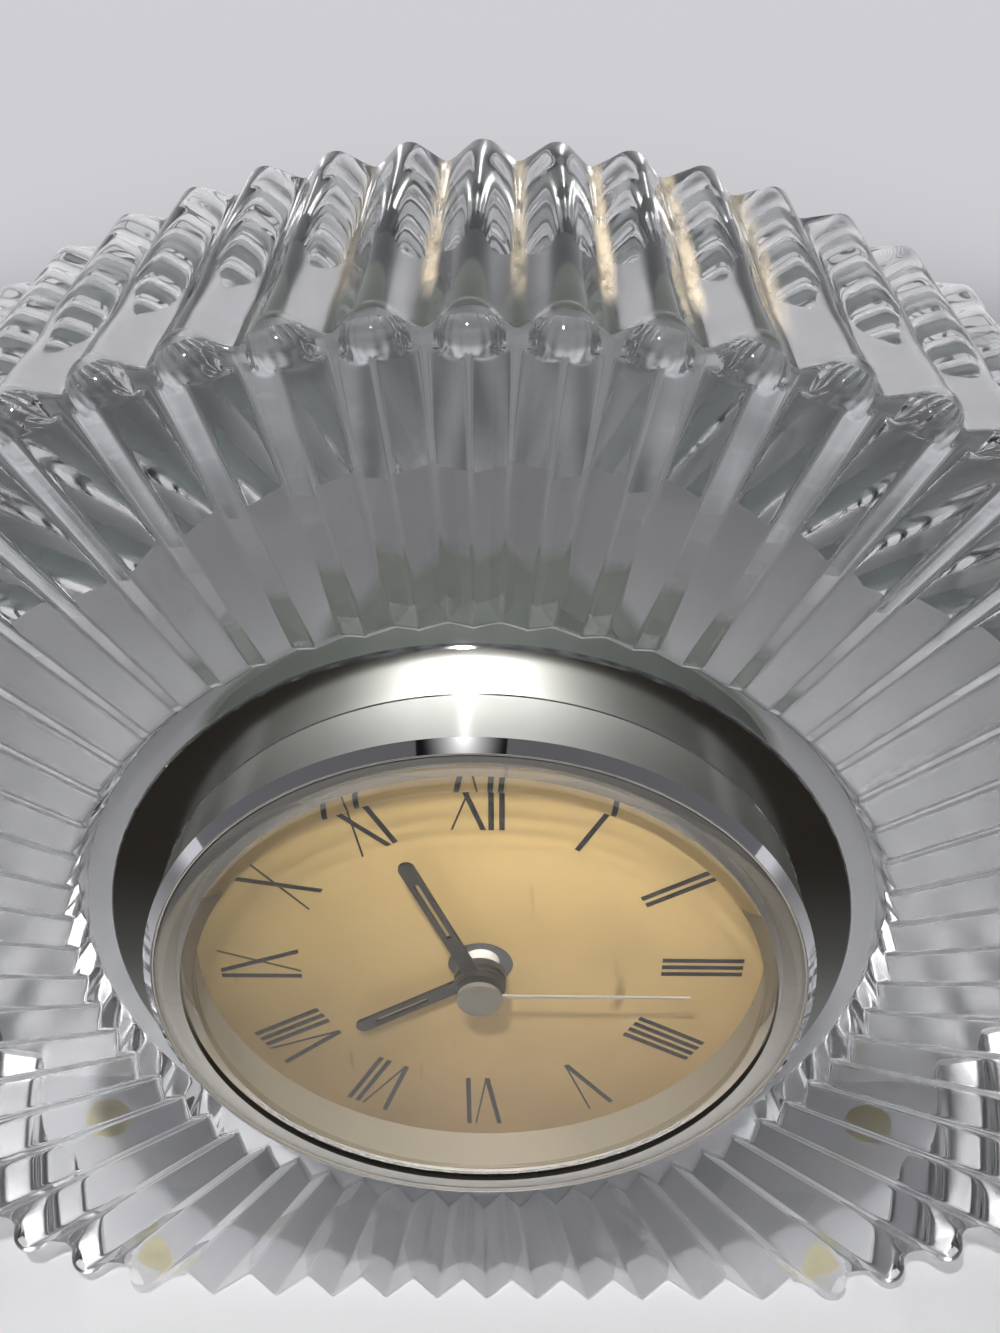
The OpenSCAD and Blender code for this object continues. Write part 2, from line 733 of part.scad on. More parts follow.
module motion_wheel() color([0.93, 0.93, 0.9]) on_dial_axis() translate(motion_at) {
    slab(motion_wheel_back, motion_wheel_back + wheel_thickness)
        gear_outline(motion_wheel_teeth, coarse_module, motion_angle + 180, true);
    slab(motion_wheel_back, plate_back - 0.2)
        gear_outline(motion_pinion_teeth, hour_module, motion_angle + 180, true);
    rod(arbor_radius, middle_plate_front + 0.1, plate_back - 0.1);
    rod(pivot_radius, middle_plate_back + 0.1, plate_back + 0.6);
}

module minute_wheel() color([0.8, 0.65, 0.3]) on_dial_axis() {
    difference() {
        union() {
            slab(minute_wheel_back, minute_wheel_back + wheel_thickness)
                gear_outline(minute_wheel_teeth, slow_module, third_angle);
            slab(minute_wheel_back, hour_wheel_back - 0.15)
                gear_outline(minute_pinion_teeth, coarse_module, motion_angle);
            rod(minute_pipe_radius, minute_wheel_back, minute_level + 0.8);
        }
        rod(second_shaft_radius + running_gap, minute_wheel_back - 1, minute_level + 2);
    }
}

module third_wheel() color([0.8, 0.65, 0.3]) on_dial_axis() translate(third_at) {
    slab(third_wheel_back, third_wheel_back + wheel_thickness)
        gear_outline(third_wheel_teeth, fine_module, third_angle + 180, true);
    slab(third_wheel_back, minute_wheel_back + wheel_thickness + 0.3)
        gear_outline(third_pinion_teeth, slow_module, third_angle + 180, true);
    rod(arbor_radius, middle_plate_front + 0.05, plate_back - 0.1);
    rod(pivot_radius, middle_plate_back + 0.1, plate_back + 0.6);
}

module second_wheel() color([0.8, 0.65, 0.3]) on_dial_axis() {
    slab(second_wheel_back, second_wheel_back + wheel_thickness)
        gear_outline(second_wheel_teeth, fine_module, fifth_angle);
    slab(second_wheel_back, minute_wheel_back - 0.25)
        gear_outline(second_pinion_teeth, fine_module, third_angle);
    rod(second_shaft_radius, second_wheel_back - 0.3, second_level + 0.4);
    rod(pivot_radius, rear_plate_back + 0.2, second_wheel_back);
}

module fifth_wheel() color([0.93, 0.93, 0.9]) on_dial_axis() translate(fifth_at) {
    slab(fifth_wheel_back, fifth_wheel_back + wheel_thickness)
        gear_outline(fifth_wheel_teeth, fine_module, rotor_angle);
    slab(fifth_wheel_back, middle_plate_back - 0.15)
        gear_outline(fifth_pinion_teeth, fine_module, fifth_angle + 180, true);
    rod(arbor_radius, rear_plate_front + 0.1, fifth_wheel_back);
    rod(pivot_radius, rear_plate_back + 0.2, middle_plate_front - 0.1);
}

module rotor() color([0.3, 0.3, 0.32]) on_dial_axis() translate(rotor_at) {
    rod(magnet_radius, magnet_back, magnet_front);
    slab(magnet_front, fifth_wheel_back + wheel_thickness + 0.2)
        gear_outline(rotor_teeth, fine_module, rotor_angle + 180, true);
    rod(pivot_radius, rear_plate_back + 0.2, middle_plate_front - 0.1);
}

// Flat iron plate round the rotor, with two legs up to the coil's core
module stator() color([0.6, 0.6, 0.62]) on_dial_axis() {
    slab(stator_back, stator_back + iron_thickness) difference() {
        translate([-iron_side, iron_low])
            square([2 * iron_side, coil_high + 2.2 - iron_low]);
        translate([-coil_length / 2 - 1, rotor_at[1] + iron_round])
            square([coil_length + 2, coil_high]);
        translate(rotor_at) circle(magnet_radius + rotor_gap);
        translate([rotor_at[0] - 0.3, rotor_at[1]]) square([0.6, 6]);
    }
}

module coil_core() color([0.6, 0.6, 0.62]) on_dial_axis() {
    slab(stator_back + iron_thickness, stator_back + 2 * iron_thickness)
        translate([0.5 - iron_side, coil_high - core_width / 2]) square([2 * iron_side - 1, core_width]);
}

module coil() color([0.7, 0.35, 0.15]) on_dial_axis() {
    difference() {
        translate([-coil_length / 2, coil_high, stator_back + 1.5 * iron_thickness]) rotate([0, 90, 0]) {
            cylinder(r = coil_radius - 0.3, h = coil_length);
            cylinder(r = coil_radius, h = 0.8);
            translate([0, 0, coil_length - 0.8]) cylinder(r = coil_radius, h = 0.8);
        }
        translate([-coil_length, coil_high - core_width / 2, stator_back + iron_thickness])
            cube([2 * coil_length, core_width, iron_thickness]);
    }
}

module circuit_board() color([0.15, 0.4, 0.2]) on_dial_axis() {
    slab(rear_plate_front, board_front)
        translate([board_side, -board_low]) square([board_width, board_height]);
}

module chip_cover() color([0.05, 0.05, 0.05]) on_dial_axis() {
    translate([board_side + 3.6, -board_low + 6.6, board_front]) cylinder(r1 = 2.6, r2 = 1.6, h = 0.9);
}

module quartz_can() color([0.75, 0.75, 0.77]) on_dial_axis() {
    translate([board_side + board_width - 1.4, -board_low + 3.2, board_front + 1])
        rotate([-90, 0, 0]) cylinder(r = 1, h = 6);
}

module setting_arbor() color([0.85, 0.85, 0.85]) on_dial_axis() translate(setting_at) {
    slab(motion_wheel_back - 0.2, plate_back - 0.2)
        gear_outline(setting_teeth, coarse_module, motion_angle + 180);
    rod(arbor_radius, rear_plate_back - 0.2, plate_back - 0.1);
    rod(arbor_radius + 0.3, -case_back - knob_height, rear_plate_back - 0.2);
    rod(pivot_radius, motion_wheel_back, plate_back + 0.6);
}

module setting_knob() color([0.1, 0.1, 0.1]) on_dial_axis() translate(setting_at) {
    difference() {
        rod(knob_radius, -case_back - knob_lift - knob_height, -case_back - knob_lift);
        rod(arbor_radius + 0.3, -case_back - knob_height, -case_back);
        for (i = [0 : 23]) rotate(i * 15) translate([knob_radius + 0.25, 0])
            rod(0.45, -case_back - 5, -case_back + 1);
    }
}

module battery() color([0.75, 0.72, 0.6]) on_dial_axis() {
    translate([-half_battery, -battery_low, -battery_back]) rotate([0, 90, 0]) {
        cylinder(r = battery_radius, h = battery_length);
        translate([0, 0, battery_length - eps]) cylinder(r = 1.9, h = battery_nub + eps);
    }
}

// Contact plate, a strip over the bay's wall and a leg down to the level of the circuit board
module contact_plate(foot_level) {
    translate([0, -battery_low - 3, -battery_back - 3])
        cube([contact_thickness, 6, battery_back + 3 - bay_front + contact_thickness]);
    translate([0, -battery_low, -bay_front]) cube([contact_thickness, battery_low + leg_low + 0.4, 0.4]);
    translate([0, leg_low, foot_level]) cube([contact_thickness, 0.4, 0.4 - bay_front - foot_level]);
}

module plus_contact() color([0.8, 0.75, 0.55]) on_dial_axis() {
    translate([half_battery, 0, 0]) contact_plate(board_front);
}

// The minus contact goes on along the rear plate to the edge of the circuit board
module minus_contact() color([0.8, 0.75, 0.55]) on_dial_axis() {
    translate([-half_battery - contact_thickness, 0, 0]) {
        contact_plate(rear_plate_front);
        translate([0, leg_low, rear_plate_front])
            cube([half_battery + contact_thickness + board_side, 0.4, 0.3]);
    }
}

crystal_body();
front_left_pad();
front_right_pad();
rear_left_pad();
rear_right_pad();
bezel();
lens();
lens_gasket();
spacer_ring();
dial();
dial_numerals();
hour_hand();
minute_hand();
second_hand();
second_cap();
insert_case();
grip_band();
front_plate();
middle_plate();
rear_plate();
plate_screws();
hour_wheel();
motion_wheel();
minute_wheel();
third_wheel();
second_wheel();
fifth_wheel();
rotor();
stator();
coil_core();
coil();
circuit_board();
chip_cover();
quartz_can();
setting_arbor();
setting_knob();
battery();
plus_contact();
minus_contact();
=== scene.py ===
import math
import bmesh
import bpy
import numpy as np
from mathutils import Matrix, Vector


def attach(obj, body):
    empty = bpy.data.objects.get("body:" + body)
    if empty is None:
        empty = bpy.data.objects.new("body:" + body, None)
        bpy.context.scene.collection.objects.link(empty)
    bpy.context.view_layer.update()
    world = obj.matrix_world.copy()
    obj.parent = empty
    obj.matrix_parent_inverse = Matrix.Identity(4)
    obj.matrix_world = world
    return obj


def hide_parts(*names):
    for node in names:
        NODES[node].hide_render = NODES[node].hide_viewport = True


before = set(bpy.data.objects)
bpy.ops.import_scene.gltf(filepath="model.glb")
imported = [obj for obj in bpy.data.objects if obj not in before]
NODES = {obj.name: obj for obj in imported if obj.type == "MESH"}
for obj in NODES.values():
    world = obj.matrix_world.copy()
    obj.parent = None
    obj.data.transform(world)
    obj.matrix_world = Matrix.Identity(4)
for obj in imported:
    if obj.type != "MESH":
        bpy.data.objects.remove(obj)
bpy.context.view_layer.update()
MM = 0.001

# Sizes of the solids, in millimetres, as in the part's source
FLUTES = 60
OVAL_WIDE, OVAL_HIGH, OVAL_DROP = 79.6, 69.2, 6.0
DRAFT = 5.0
BODY_BACK = 38.2
AXIS_HIGH = 61.3
PAD_HIGH = 1.6
APEX, RIDGE_FALL, VALLEY_FALL = 4.67, 0.02, 0.061
CREST, FLANK = 2.0, math.radians(38)
BEAD = 2.2
CORE_INSET = 2.9
SIDE_RIDGES = 24
BORE_R, BORE_DEEP = 33.1, 22.0
LAND_R, WALL_LEAN = 38.5, math.tan(math.radians(15))
BORDER_CREST, WINDOW_FRONT, WINDOW_BACK, LENS_SHOULDER, LENS_SEAT = 7.6, 7.3, 6.4, 6.9, 5.4
LENS_R, INNER_SLOPE, OUTER_SLOPE, LENS_FOOT = 30.15, 1.5, 2.15, 1.9
TUBE_R, TUBE_BORE, TUBE_RISE, EDGE_CHAMFER, SKIRT = 31.35, 30.4, 6.4, 0.9, 4.0
FLANGE_R, FLANGE_THICK = 36.0, 0.6
SEAT_Y = -(BODY_BACK - BORDER_CREST) / 2
DIAL_Z = AXIS_HIGH + PAD_HIGH
STEP = math.radians(360 / FLUTES)

# Rounding where the body's surfaces meet, in mm
CORNER_BEND, BACK_ROUND, RIM_BLEND, BEAD_BLEND, RIDGE_BLEND = 0.6, 0.7, 0.22, 0.10, 0.32
# Middle of the turn from face to rim, inward of the outline and down from the beads, in mm
TURN_IN, TURN_DOWN = 7, 4
# Longer than any way from the middle of the turn to the surface, in mm
FAR = 50.0

# The back's finish: how far inside the outline the wavy zone ends, at the top and at the sides, in mm,
# the angles from the top between which it narrows, and the one past which all of the back is smoothed
WAVY_TOP, WAVY_SIDE = 27.0, 15.0
NARROW_FROM, NARROW_TO, WAVY_END = math.radians(66), math.radians(84), math.radians(82)

GLASS_IOR, ACRYLIC_IOR = 1.52, 1.49
# Radii in materials are measured in units of this many mm
RADIUS_UNIT = 40


# Helpers for materials

def new_material(name):
    mat = bpy.data.materials.new(name)
    mat.use_nodes = True
    tree = mat.node_tree
    tree.nodes.clear()
    out = tree.nodes.new("ShaderNodeOutputMaterial")
    return mat, tree, out


def feed(tree, socket, value):
    """Link a socket to another one, or set it to a plain value."""
    if isinstance(value, bpy.types.NodeSocket):
        tree.links.new(value, socket)
    else:
        socket.default_value = value


def add(tree, kind, **inputs):
    """New node; inputs are given by name, with _ for a space."""
    node = tree.nodes.new(kind)
    for key, value in inputs.items():
        feed(tree, node.inputs[key.replace("_", " ")], value)
    return node


def principled(name, color, rough=0.5, metal=0.0):
    mat, tree, out = new_material(name)
    shader = add(tree, "ShaderNodeBsdfPrincipled", Base_Color=(*color, 1), Roughness=rough, Metallic=metal)
    tree.links.new(shader.outputs[0], out.inputs["Surface"])
    return mat, tree, shader


def object_coords(tree, scale=(1, 1, 1), shift=(0, 0, 0), turn=(0, 0, 0)):
    coords = add(tree, "ShaderNodeTexCoord")
    mapping = add(tree, "ShaderNodeMapping", Scale=scale, Location=shift, Rotation=turn,
                  Vector=coords.outputs["Object"])
    return mapping.outputs["Vector"]


def split(tree, vector):
    """The X, Y and Z sockets of a vector."""
    return add(tree, "ShaderNodeSeparateXYZ", Vector=vector).outputs


def length(tree, vector):
    node = add(tree, "ShaderNodeVectorMath")
    node.operation = "LENGTH"
    tree.links.new(vector, node.inputs[0])
    return node.outputs["Value"]


def math_node(tree, operation, one, two=None):
    node = add(tree, "ShaderNodeMath")
    node.operation = operation
    for socket, value in zip(node.inputs, (one, two)):
        if value is not None:
            feed(tree, socket, value)
    return node.outputs[0]


def map_range(tree, value, low, high, to_low=0.0, to_high=1.0, smooth=True):
    node = add(tree, "ShaderNodeMapRange")
    if smooth:
        node.interpolation_type = "SMOOTHSTEP"
    for name, given in (("Value", value), ("From Min", low), ("From Max", high),
                        ("To Min", to_low), ("To Max", to_high)):
        feed(tree, node.inputs[name], given)
    return node.outputs["Result"]


def noise(tree, vector, scale, detail=2.0, rough=0.5):
    node = add(tree, "ShaderNodeTexNoise", Vector=vector, Scale=scale, Detail=detail, Roughness=rough)
    return node.outputs["Fac"]


def ramp(tree, factor, stops):
    node = add(tree, "ShaderNodeValToRGB", Fac=factor)
    elements = node.color_ramp.elements
    while len(elements) < len(stops):
        elements.new(0.5)
    for element, (position, color) in zip(elements, stops):
        element.position = position
        element.color = (*color, 1)
    return node.outputs["Color"]


def mix_colors(tree, factor, one, two, blend="MIX"):
    node = add(tree, "ShaderNodeMix")
    node.data_type = "RGBA"
    node.blend_type = blend
    for name, value in (("Factor", factor), ("A", one), ("B", two)):
        feed(tree, node.inputs[name], value)
    return node.outputs["Result"]


def mix_shaders(tree, factor, one, two):
    node = add(tree, "ShaderNodeMixShader", Fac=factor)
    tree.links.new(one, node.inputs[1])
    tree.links.new(two, node.inputs[2])
    return node.outputs[0]


def bump(tree, height, distance, normal_socket):
    node = add(tree, "ShaderNodeBump", Height=height, Strength=1.0, Distance=distance)
    tree.links.new(node.outputs["Normal"], normal_socket)


def grey(value):
    return (value, value, value)


def axis_radius(tree):
    """Distance from the dial's axis, in units of RADIUS_UNIT."""
    size = 1 / (RADIUS_UNIT * MM)
    return length(tree, object_coords(tree, (size, 0, size), (0, 0, -size * DIAL_Z * MM)))


def clock_angle(tree):
    """Angle round the dial's axis, in flutes from the top one."""
    place = split(tree, object_coords(tree, shift=(0, 0, -DIAL_Z * MM)))
    return math_node(tree, "DIVIDE", math_node(tree, "ARCTAN2", place["X"], place["Z"]), STEP)


def blend_surface(mat, factor, shader):
    """Mix one more shader into what a material shows so far."""
    tree = mat.node_tree
    surface = next(node for node in tree.nodes if node.type == "OUTPUT_MATERIAL").inputs["Surface"]
    mixed = mix_shaders(tree, factor, surface.links[0].from_socket, shader.outputs[0])
    tree.links.new(mixed, surface)


def cover(mat, amount, color):
    """Lay a dull colour over part of a material; the amount is a number or a socket."""
    blend_surface(mat, amount, add(mat.node_tree, "ShaderNodeBsdfDiffuse", Color=(*color, 1)))


def clear_material(name, color, ior, rough=0.0, ripple=0.0, ripple_size=60.0, shadow=0.85, rings=None):
    """Clear glass or acrylic; lamp light passes straight through it to what lies behind."""
    mat, tree, out = new_material(name)
    shader = add(tree, "ShaderNodeBsdfPrincipled", Base_Color=(*color, 1), Roughness=rough, IOR=ior,
                 Transmission_Weight=1.0)
    if ripple:
        bump(tree, noise(tree, object_coords(tree), ripple_size), ripple, shader.inputs["Normal"])
    passed = ramp(tree, axis_radius(tree), rings) if rings else (shadow, shadow, shadow, 1)
    through = add(tree, "ShaderNodeBsdfTransparent", Color=passed)
    path = add(tree, "ShaderNodeLightPath")
    mixed = mix_shaders(tree, path.outputs["Is Shadow Ray"], shader.outputs[0], through.outputs[0])
    tree.links.new(mixed, out.inputs["Surface"])
    return mat, tree, shader


# Form of the glass body

def reach(a, grow=0.0):
    """Radius of the oval outline at a clock angle."""
    wide, high = OVAL_WIDE + grow, OVAL_HIGH + grow
    qa = (np.sin(a) / wide) ** 2 + (np.cos(a) / high) ** 2
    qb = 2 * np.cos(a) * OVAL_DROP / high ** 2
    qc = (OVAL_DROP / high) ** 2 - 1
    return (-qb + np.sqrt(qb * qb - 4 * qa * qc)) / (2 * qa)


def fold(t, low=0.1, high=0.08):
    """0 at the valley, 1 at the ridge, with both ends rounded."""
    t = np.clip(t, 0, 1)
    bottom = low / 2 + t * t / (2 * low)
    top = 1 - (high / 2 + (1 - t) ** 2 / (2 * high))
    return np.where(t < low, bottom, np.where(t > 1 - high, top, t))


def face_level(r, d):
    """Level of the fluted face at radius r and angle d from the nearest ridge."""
    half = STEP / 2
    valley = APEX - VALLEY_FALL * r * math.cos(half)
    ridge = APEX - RIDGE_FALL * r
    t = 1 - np.abs(np.tan(d)) / math.tan(half)
    return valley + (ridge - valley) * fold(t)


def soft_max(values, width):
    """Largest of the values, rounded over where two of them are close."""
    stack = np.stack(values)
    top = stack.max(0)
    return top + width * np.log(np.exp((stack - top) / width).sum(0))


def soft_min(values, width):
    return -soft_max([-v for v in values], width)


def has_ridge(k):
    """The base has no ridges; k counts the flutes from the top one."""
    return np.abs((k + FLUTES // 2) % FLUTES - FLUTES // 2) <= SIDE_RIDGES


def rim_radius(a, level):
    """Outer radius of the fluted rim at a clock angle and a level."""
    k0 = np.round(a / STEP)
    best = []
    for k in (k0 - 1, k0, k0 + 1):
        ak = k * STEP
        d = a - ak
        front, back = reach(ak), reach(ak, DRAFT)
        start = APEX - RIDGE_FALL * front - BEAD
        crest = front + (start - level) * (back - front) / (start + BODY_BACK)
        r = crest.copy()
        touch = CREST * math.sin(FLANK)
        for _ in range(12):
            x = np.abs(r * np.sin(d))
            near = CREST - np.sqrt(np.maximum(CREST ** 2 - np.minimum(x, touch) ** 2, 0))
            g = near + np.maximum(x - touch, 0) * math.tan(FLANK)
            r = (crest - g) / np.cos(d)
        best.append(np.where(has_ridge(k), r, 0))
    flank = soft_max(best, RIDGE_BLEND)
    return np.where(flank > 1, flank, 0)


def core_radius(a):
    """Radius of the flat facets under the ridges at a clock angle."""
    k = np.floor(a / STEP)
    f = a / STEP - k
    r0, r1 = reach(k * STEP) - CORE_INSET, reach((k + 1) * STEP) - CORE_INSET
    d0, d1 = f * STEP, (1 - f) * STEP
    return r0 * r1 * math.sin(STEP) / (r0 * np.sin(d0) + r1 * np.sin(d1))


def smoothed_reach(a):
    """Where the smoothed middle of the back ends; it comes closer to the outline at the sides."""
    from_top = np.abs((a + math.pi) % (2 * math.pi) - math.pi)
    side = np.clip((from_top - NARROW_FROM) / (NARROW_TO - NARROW_FROM), 0, 1)
    return reach(a, DRAFT) - WAVY_TOP + (WAVY_TOP - WAVY_SIDE) * side


def body_profiles():
    """Columns of profile points (radius, level) round the dial's axis."""
    # Columns from a ridge to the valley beside it, closer together at both
    half = np.array([0, 0.04, 0.08, 0.13, 0.2, 0.28, 0.37, 0.47, 0.57, 0.67, 0.76, 0.84, 0.9, 0.94, 0.97, 1.0])
    offsets = np.concatenate([-half[:0:-1], half[:-1]])
    angles = np.sort((np.arange(FLUTES)[:, None] + offsets[None, :] * 0.5).ravel() * STEP)
    k = np.round(angles / STEP + 1e-9)
    d = angles - k * STEP
    columns = len(angles)
    rows = []

    def put(r, y):
        rows.append((np.broadcast_to(np.asarray(r, float), (columns,)).copy(),
                     np.broadcast_to(np.asarray(y, float), (columns,)).copy()))

    # Recess, flat land round it and the foot of the steep wall
    for r, y in ((6, -BORE_DEEP), (16, -BORE_DEEP), (26, -BORE_DEEP), (BORE_R - 0.3, -BORE_DEEP),
                 (BORE_R, -BORE_DEEP + 0.3), (BORE_R, -17), (BORE_R, -12), (BORE_R, -7), (BORE_R, -3),
                 (BORE_R, -0.25), (BORE_R + 0.25, 0), (LAND_R - 1.5, 0), (LAND_R - 0.4, 0), (LAND_R - 0.1, 0.08),
                 (LAND_R + 0.4 * WALL_LEAN, 0.4)):
        put(r, y)

    # Top of the steep wall, rounded over onto the fluted face
    corner = np.full(columns, LAND_R + 1.0)
    for _ in range(20):
        corner = LAND_R + WALL_LEAN * face_level(corner, d)
    top = face_level(corner, d)
    before = (corner - CORNER_BEND * WALL_LEAN, top - CORNER_BEND)
    after = (corner + CORNER_BEND, face_level(corner + CORNER_BEND, d))
    for s in (0, 0.2, 0.4, 0.6, 0.8, 1.0):
        put((1 - s) ** 2 * before[0] + 2 * s * (1 - s) * corner + s * s * after[0],
            (1 - s) ** 2 * before[1] + 2 * s * (1 - s) * top + s * s * after[1])

    # Fluted face, out to the middle of the turn
    oval = reach(angles)
    centre_r = oval - TURN_IN
    centre_y = APEX - RIDGE_FALL * oval - BEAD - TURN_DOWN
    for s in np.linspace(0, 1, 15)[1:-1]:
        r = after[0] + (centre_r - after[0]) * s
        put(r, face_level(r, d))

    # Turn from face to rim: how far the core, the ridges and the beads reach from its middle
    front = reach(k * STEP)
    start = APEX - RIDGE_FALL * front - BEAD
    ridged = has_ridge(k)
    core = core_radius(angles)
    span = 5
    rim0 = rim_radius(angles, centre_y)
    slope = (rim_radius(angles, centre_y - span) - rim0) / span
    h0 = face_level(centre_r, d)
    h1 = (face_level(centre_r + span, d) - h0) / span
    low_sine, least = 0.02, 1e-3
    turns = np.concatenate([np.linspace(math.pi / 2, math.radians(64), 6)[:-1],
                            np.linspace(math.radians(64), math.radians(20), 42)[:-1],
                            np.linspace(math.radians(20), 0, 8)])
    for turn in turns:
        c, s = math.cos(turn), math.sin(turn)
        away = np.full(columns, FAR)
        out_core = (core - centre_r) / c if c > 1e-6 else away
        out_face = (h0 - centre_y) / np.maximum(s - h1 * c, least) if s > low_sine else away
        slab = soft_min([np.minimum(out_core, FAR), np.minimum(out_face, FAR)], BEAD_BLEND)
        out_front = (start - centre_y) / s if s > low_sine else away
        out_rim = (rim0 - centre_r) / (c + slope * s)
        rim = np.where(ridged & (rim0 > 1),
                       soft_min([np.minimum(out_front, FAR), np.minimum(out_rim, FAR)], RIM_BLEND), 0)
        spot = front - CREST
        half_b = c * centre_r - c * spot * np.cos(d) + s * (centre_y - start)
        rest = (centre_r ** 2 - 2 * centre_r * spot * np.cos(d) + spot ** 2 + (centre_y - start) ** 2
                - BEAD ** 2)
        disc = half_b ** 2 - rest
        bead = np.where(ridged & (disc > 0), -half_b + np.sqrt(np.maximum(disc, 0)), 0)
        t = soft_max([slab, rim, bead], BEAD_BLEND)
        put(centre_r + t * c, centre_y + t * s)

    # Rim
    last_r, last_y = rows[-1]
    for s in np.linspace(0, 1, 7)[1:]:
        y = last_y + (-BODY_BACK + BACK_ROUND - last_y) * s
        rim = np.maximum(rim_radius(angles, y), core)
        put(last_r * (1 - min(s * 4, 1)) + rim * min(s * 4, 1), y)

    # Rounded edge of the back, and the back itself
    edge_r = rows[-1][0]
    tip = edge_r + BACK_ROUND * DRAFT / (BODY_BACK + 2)
    for s in (0.25, 0.5, 0.75, 1.0):
        w0, w1, w2 = (1 - s) ** 2, 2 * s * (1 - s), s * s
        put(w0 * edge_r + w1 * tip + w2 * (tip - BACK_ROUND),
            w0 * (-BODY_BACK + BACK_ROUND) - (w1 + w2) * BODY_BACK)
    put(rows[-1][0] * 0.93, -BODY_BACK)
    put(smoothed_reach(angles), -BODY_BACK)
    for share in (0.8, 0.6, 0.4, 0.2):
        put(rows[-1][0] * share, -BODY_BACK)
    return angles, rows


def to_row(x, up, forward):
    """Row frame, in metres, from millimetres to the right, up and forward of the seat's middle."""
    return np.stack([x, SEAT_Y - forward, DIAL_Z + up], -1) * MM


def mesh_object(name, verts, faces, smooth=True):
    mesh = bpy.data.meshes.new(name)
    mesh.from_pydata([tuple(v) for v in verts], [], faces)
    mesh.validate()
    mesh.update()
    obj = bpy.data.objects.new(name, mesh)
    bpy.context.scene.collection.objects.link(obj)
    if smooth:
        mesh.polygons.foreach_set("use_smooth", [True] * len(mesh.polygons))
    return obj


def face_outward(obj):
    bm = bmesh.new()
    bm.from_mesh(obj.data)
    bmesh.ops.recalc_face_normals(bm, faces=bm.faces)
    bm.to_mesh(obj.data)
    bm.free()


def mark_sharp(obj, degrees):
    bm = bmesh.new()
    bm.from_mesh(obj.data)
    limit = math.radians(degrees)
    for edge in bm.edges:
        edge.smooth = len(edge.link_faces) == 2 and edge.calc_face_angle(0) < limit
    bm.to_mesh(obj.data)
    bm.free()


def body_mesh():
    """The profiles joined into a closed mesh, with the base cut flat."""
    angles, rows = body_profiles()
    columns = len(angles)
    verts = [(0.0, 0.0, -BORE_DEEP)]
    grid = []
    for r, y in rows:
        grid.append(np.arange(columns) + len(verts))
        verts.extend(zip(r * np.sin(angles), r * np.cos(angles), y))
    verts.append((0.0, 0.0, -BODY_BACK))
    end = len(verts) - 1
    nxt = np.roll(np.arange(columns), -1)
    faces = [(0, int(grid[0][i]), int(grid[0][nxt[i]])) for i in range(columns)]
    for one, two in zip(grid[:-1], grid[1:]):
        faces.extend(zip(one.tolist(), two.tolist(), two[nxt].tolist(), one[nxt].tolist()))
    faces.extend((end, int(grid[-1][nxt[i]]), int(grid[-1][i])) for i in range(columns))
    points = np.array(verts)
    body = mesh_object("glass_body", to_row(points[:, 0], points[:, 1], points[:, 2]), faces)
    face_outward(body)
    cutter = mesh_object("base_cut", np.array([
        (x, y, z) for x in (-0.2, 0.2) for y in (-0.1, 0.1) for z in (-0.15, PAD_HIGH * MM)]),
        [(0, 1, 3, 2), (4, 6, 7, 5), (0, 4, 5, 1), (2, 3, 7, 6), (0, 2, 6, 4), (1, 5, 7, 3)], smooth=False)
    cut = body.modifiers.new("base", "BOOLEAN")
    cut.operation = "DIFFERENCE"
    cut.solver = "EXACT"
    cut.object = cutter
    graph = bpy.context.evaluated_depsgraph_get()
    made = bpy.data.meshes.new_from_object(body.evaluated_get(graph))
    body.modifiers.clear()
    body.data = made
    bpy.data.objects.remove(cutter)
    mark_sharp(body, 40)
    return body


# Materials

def add_dirt(mat):
    """Beige dirt in a few of the rim's grooves near the top."""
    tree = mat.node_tree
    angle = clock_angle(tree)
    depth = split(tree, object_coords(tree, shift=(0, 0, -DIAL_Z * MM)))["Y"]
    from_groove = math_node(tree, "ABSOLUTE", math_node(
        tree, "SUBTRACT", math_node(tree, "FRACT", math_node(tree, "ADD", angle, 20.0)), 0.5))
    groove = map_range(tree, from_groove, 0.03, 0.13, 1.0, 0.0)
    which = ramp(tree, math_node(tree, "DIVIDE", math_node(tree, "ADD", angle, 3.0), 8.0), [
        (0.12, grey(0)), (0.2, grey(0.25)), (0.31, grey(0.7)), (0.44, grey(0.65)), (0.56, grey(1)),
        (0.69, grey(0.95)), (0.81, grey(0.6)), (0.9, grey(0))])
    behind = map_range(tree, depth, (SEAT_Y + 3) * MM, (SEAT_Y + 9) * MM)
    patches = noise(tree, object_coords(tree, (1, 0.35, 1)), 700.0, 4.0, 0.6)
    patch = map_range(tree, patches, 0.3, 0.62, 0.25, 1.0)
    amount = math_node(tree, "MULTIPLY", math_node(tree, "MULTIPLY", groove, which),
                       math_node(tree, "MULTIPLY", behind, patch))
    geometry = add(tree, "ShaderNodeNewGeometry")
    outside = math_node(tree, "SUBTRACT", 1.0, geometry.outputs["Backfacing"])
    amount = math_node(tree, "MULTIPLY", amount, outside)
    cover(mat, math_node(tree, "MULTIPLY", amount, 0.75), (0.62, 0.52, 0.38))


